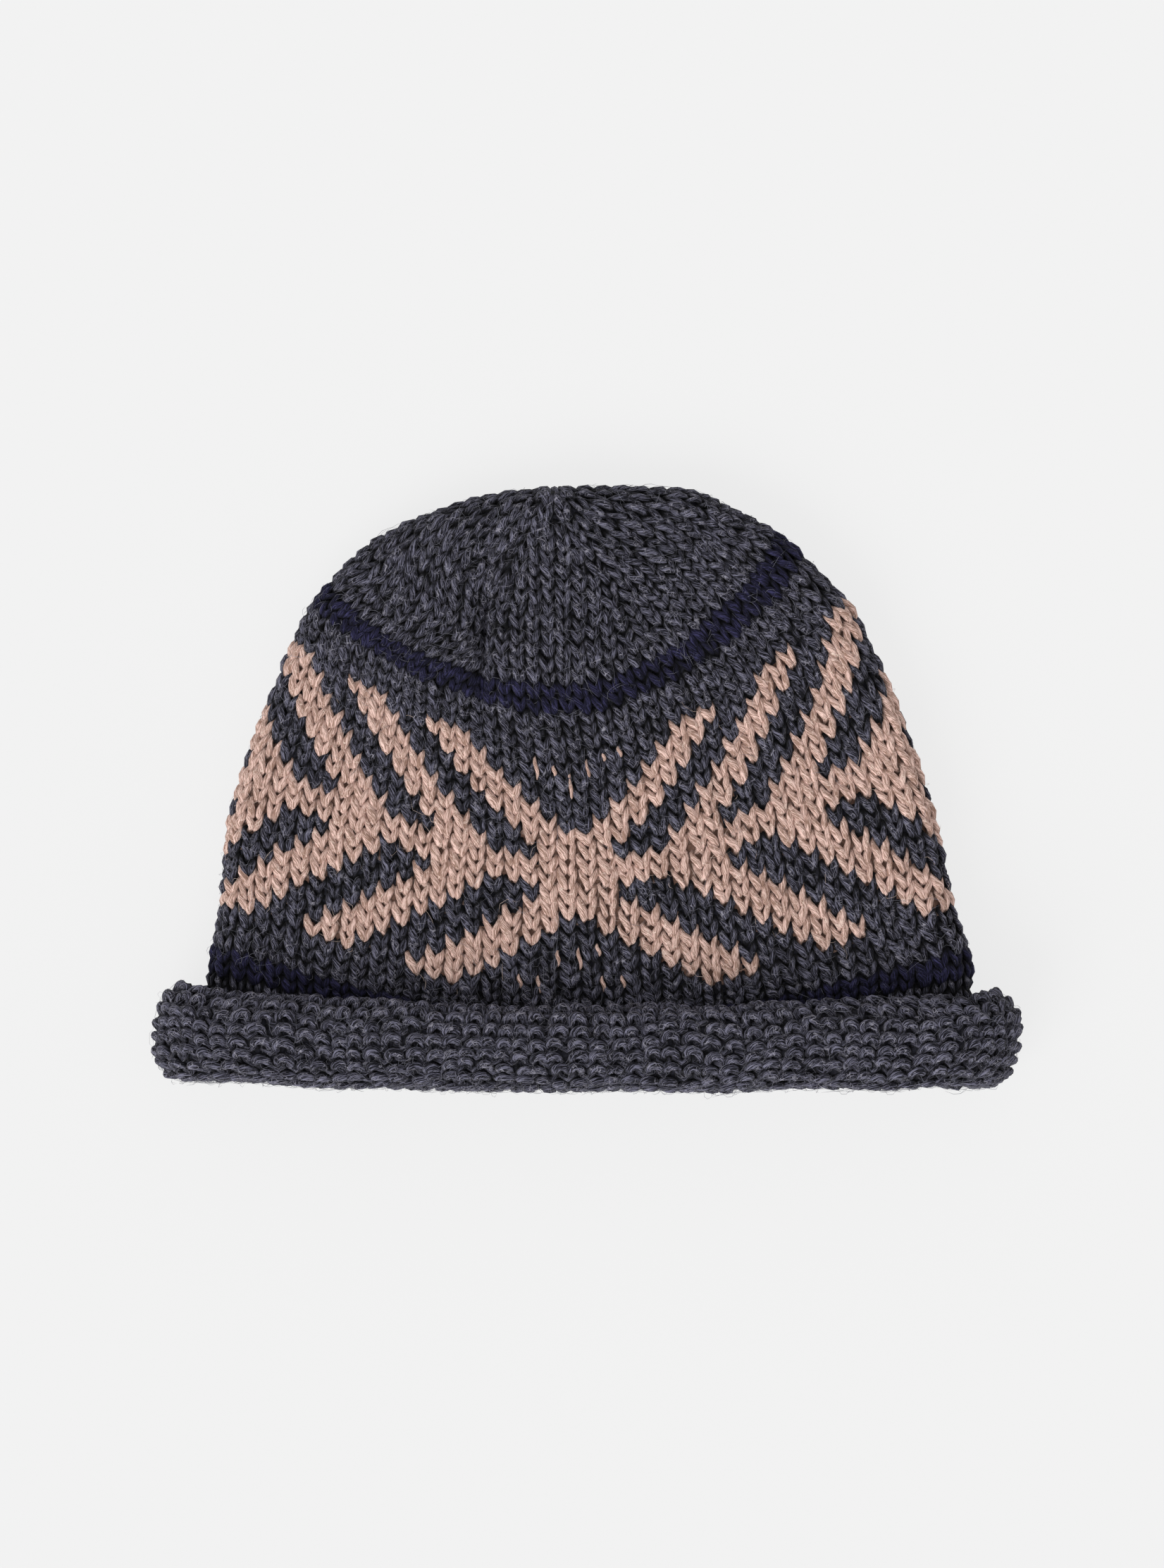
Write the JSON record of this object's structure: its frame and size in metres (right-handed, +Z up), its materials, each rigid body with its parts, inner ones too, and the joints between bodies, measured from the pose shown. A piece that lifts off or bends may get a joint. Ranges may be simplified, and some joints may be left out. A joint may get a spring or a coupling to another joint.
{
  "type": "knitted watch cap",
  "caption": "Rolled-brim knitted cap in charcoal wool with a branching beige colourwork motif and navy stripes, lying flat.",
  "frame": {"origin": "centre of the footprint's bounding box, on the surface that the cap lies on", "axes": "+X across the cap along the mouth, +Y from the mouth to the crown, +Z up off the surface towards the cap's front"},
  "size_m": [0.2847, 0.2002, 0.0497],
  "materials": {
    "charcoal_yarn": "marled wool knit, matt, with fine stray fibres",
    "navy_yarn": "wool knit, matt",
    "beige_yarn": "plied wool knit, matt"
  },
  "bodies": {
    "root": {"rolled_brim": "charcoal_yarn", "lower_stripe": "navy_yarn", "side_wall": "charcoal_yarn", "upper_stripe": "navy_yarn", "crown": "charcoal_yarn"}
  },
  "joints": []
}
